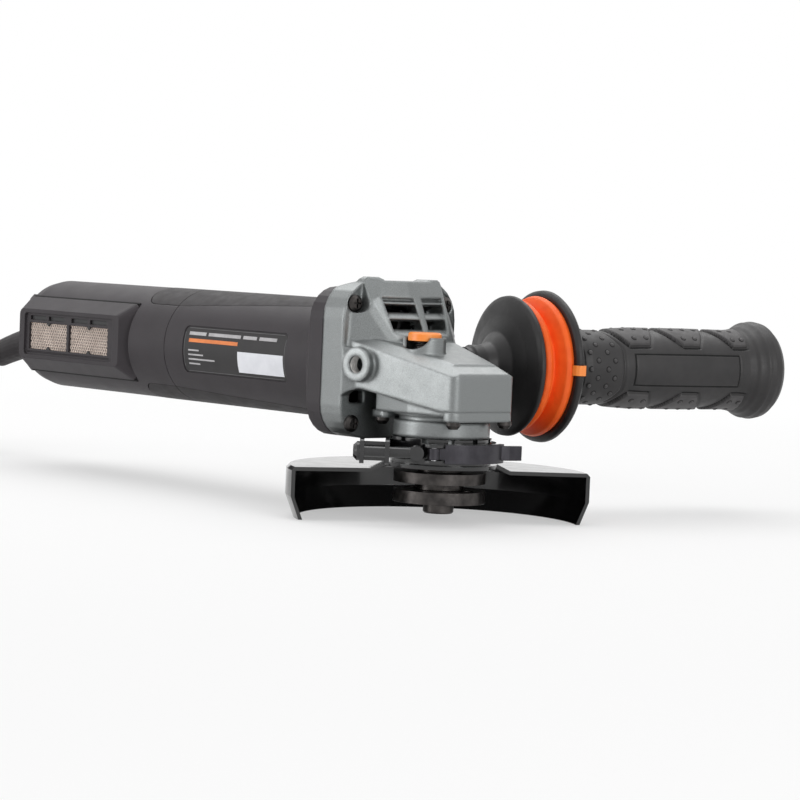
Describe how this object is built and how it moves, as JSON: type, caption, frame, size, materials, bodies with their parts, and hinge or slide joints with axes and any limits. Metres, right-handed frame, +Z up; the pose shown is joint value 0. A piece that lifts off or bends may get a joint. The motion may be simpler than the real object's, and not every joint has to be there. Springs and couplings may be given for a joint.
{
  "type": "angle grinder",
  "caption": "Corded angle grinder with a cast gear head, bevel drive, spindle lock, quick-clamp guard and a damped side handle.",
  "frame": {"origin": "on the spindle axis, where the full M14 thread ends at its tip", "axes": "+X out of the nose along the motor axis, +Y to the side handle, +Z up along the spindle"},
  "size_m": [0.5301, 0.3455, 0.1098],
  "materials": {
    "plastic": "fine-textured moulded plastic",
    "inner_plastic": "plain moulded plastic",
    "soft_rubber": "soft moulded rubber",
    "cord_rubber": "cord sheath",
    "tie": "hook and loop strap",
    "mesh": "fine woven wire mesh",
    "housing_metal": "metallic grey paint on die casting",
    "dark_screws": "burnished steel",
    "bearing_steel": "ground steel",
    "bronze": "sintered bronze",
    "spindle_steel": "dark burnished steel",
    "magnet_steel": "laminated steel",
    "copper": "enamelled copper",
    "orange_plastic": "orange plastic",
    "orange_rubber": "orange damping rubber",
    "guard_paint": "gloss black enamel",
    "clamp_steel": "satin black coating",
    "switch_plastic": "black plastic",
    "blue_case": "component case"
  },
  "bodies": {
    "housing": {"motor_housing": "plastic", "motor_soft_grips": "soft_rubber", "rear_cover_left": "plastic", "rear_cover_right": "plastic", "rear_soft_grips": "soft_rubber", "filter_cover_left": "plastic", "filter_cover_right": "plastic", "filter_mesh_left": "mesh", "filter_mesh_right": "mesh", "rear_cover_screws": "dark_screws", "gear_housing": "housing_metal", "gear_housing_screws": "dark_screws", "bearing_cap": "housing_metal", "bearing_cap_screws": "dark_screws", "spindle_bearing": "bearing_steel", "spindle_bush": "bronze", "front_bearing": "bearing_steel", "rear_bearing": "bearing_steel", "bearing_bracket": "inner_plastic", "stator_core": "magnet_steel", "stator_windings": "copper", "air_baffle": "inner_plastic", "lock_spring": "bearing_steel", "handle_stud": "bearing_steel", "handle_disc": "soft_rubber", "handle_bellows": "orange_rubber", "handle_core": "soft_rubber", "handle_tab": "orange_plastic", "handle_grip": "soft_rubber", "controller_module": "inner_plastic", "power_switch": "inner_plastic", "speed_potentiometer": "blue_case", "cord_clamp": "inner_plastic", "strain_relief": "soft_rubber", "cord_run": "cord_rubber", "cord_coil": "cord_rubber", "cord_tail": "cord_rubber", "cord_tie": "tie", "plug_body": "cord_rubber", "plug_pins": "bearing_steel"},
    "spindle_set": {"spindle": "spindle_steel", "bevel_gear": "spindle_steel", "inner_flange": "spindle_steel", "flange_nut": "spindle_steel"},
    "rotor": {"rotor_shaft": "bearing_steel", "rotor_magnets": "magnet_steel", "cooling_fan": "inner_plastic", "pinion": "spindle_steel"},
    "guard": {"guard_shell": "guard_paint", "guard_collar": "guard_paint", "clamp_band": "clamp_steel", "clamp_screw": "clamp_steel", "clamp_barrel": "clamp_steel", "lever_pin": "bearing_steel"},
    "lever": {"clamp_lever": "clamp_steel"},
    "lock": {"lock_button": "orange_plastic", "lock_pin": "bearing_steel"},
    "switch": {"switch_slider": "switch_plastic", "switch_rod": "bearing_steel"},
    "dial": {"speed_dial": "switch_plastic"}
  },
  "joints": [
    {"name": "spindle_spin", "type": "hinge", "parent": "housing", "child": "spindle_set", "pos_m": [0, 0, 0], "axis": [0, 0, 1], "continuous": true},
    {"name": "rotor_spin", "type": "hinge", "parent": "housing", "child": "rotor", "pos_m": [-0.1, 0, 0.0655], "axis": [1, 0, 0], "continuous": true},
    {"name": "guard_turn", "type": "hinge", "parent": "housing", "child": "guard", "pos_m": [0, 0, 0.025], "axis": [0, 0, 1], "range_deg": [-45, 90]},
    {"name": "clamp_lever_open", "type": "hinge", "parent": "guard", "child": "lever", "pos_m": [0.01997, -0.022, 0.028], "axis": [0, 0, -1], "range_deg": [0, 100]},
    {"name": "lock_press", "type": "slide", "parent": "housing", "child": "lock", "axis": [0, 0, -1], "range_m": [0, 0.0045], "stiffness_N_per_m": 800, "springref_m": -0.003, "deforming": ["lock_spring"]},
    {"name": "switch_slide", "type": "slide", "parent": "housing", "child": "switch", "axis": [1, 0, 0], "range_m": [0, 0.008]},
    {"name": "speed_dial_turn", "type": "hinge", "parent": "housing", "child": "dial", "pos_m": [-0.3055, 0, 0.082], "axis": [0, 1, 0], "range_deg": [0, 270]}
  ],
  "couplings": [
    {"joint": "rotor_spin", "follows": "spindle_spin", "ratio": -3.3636}
  ]
}
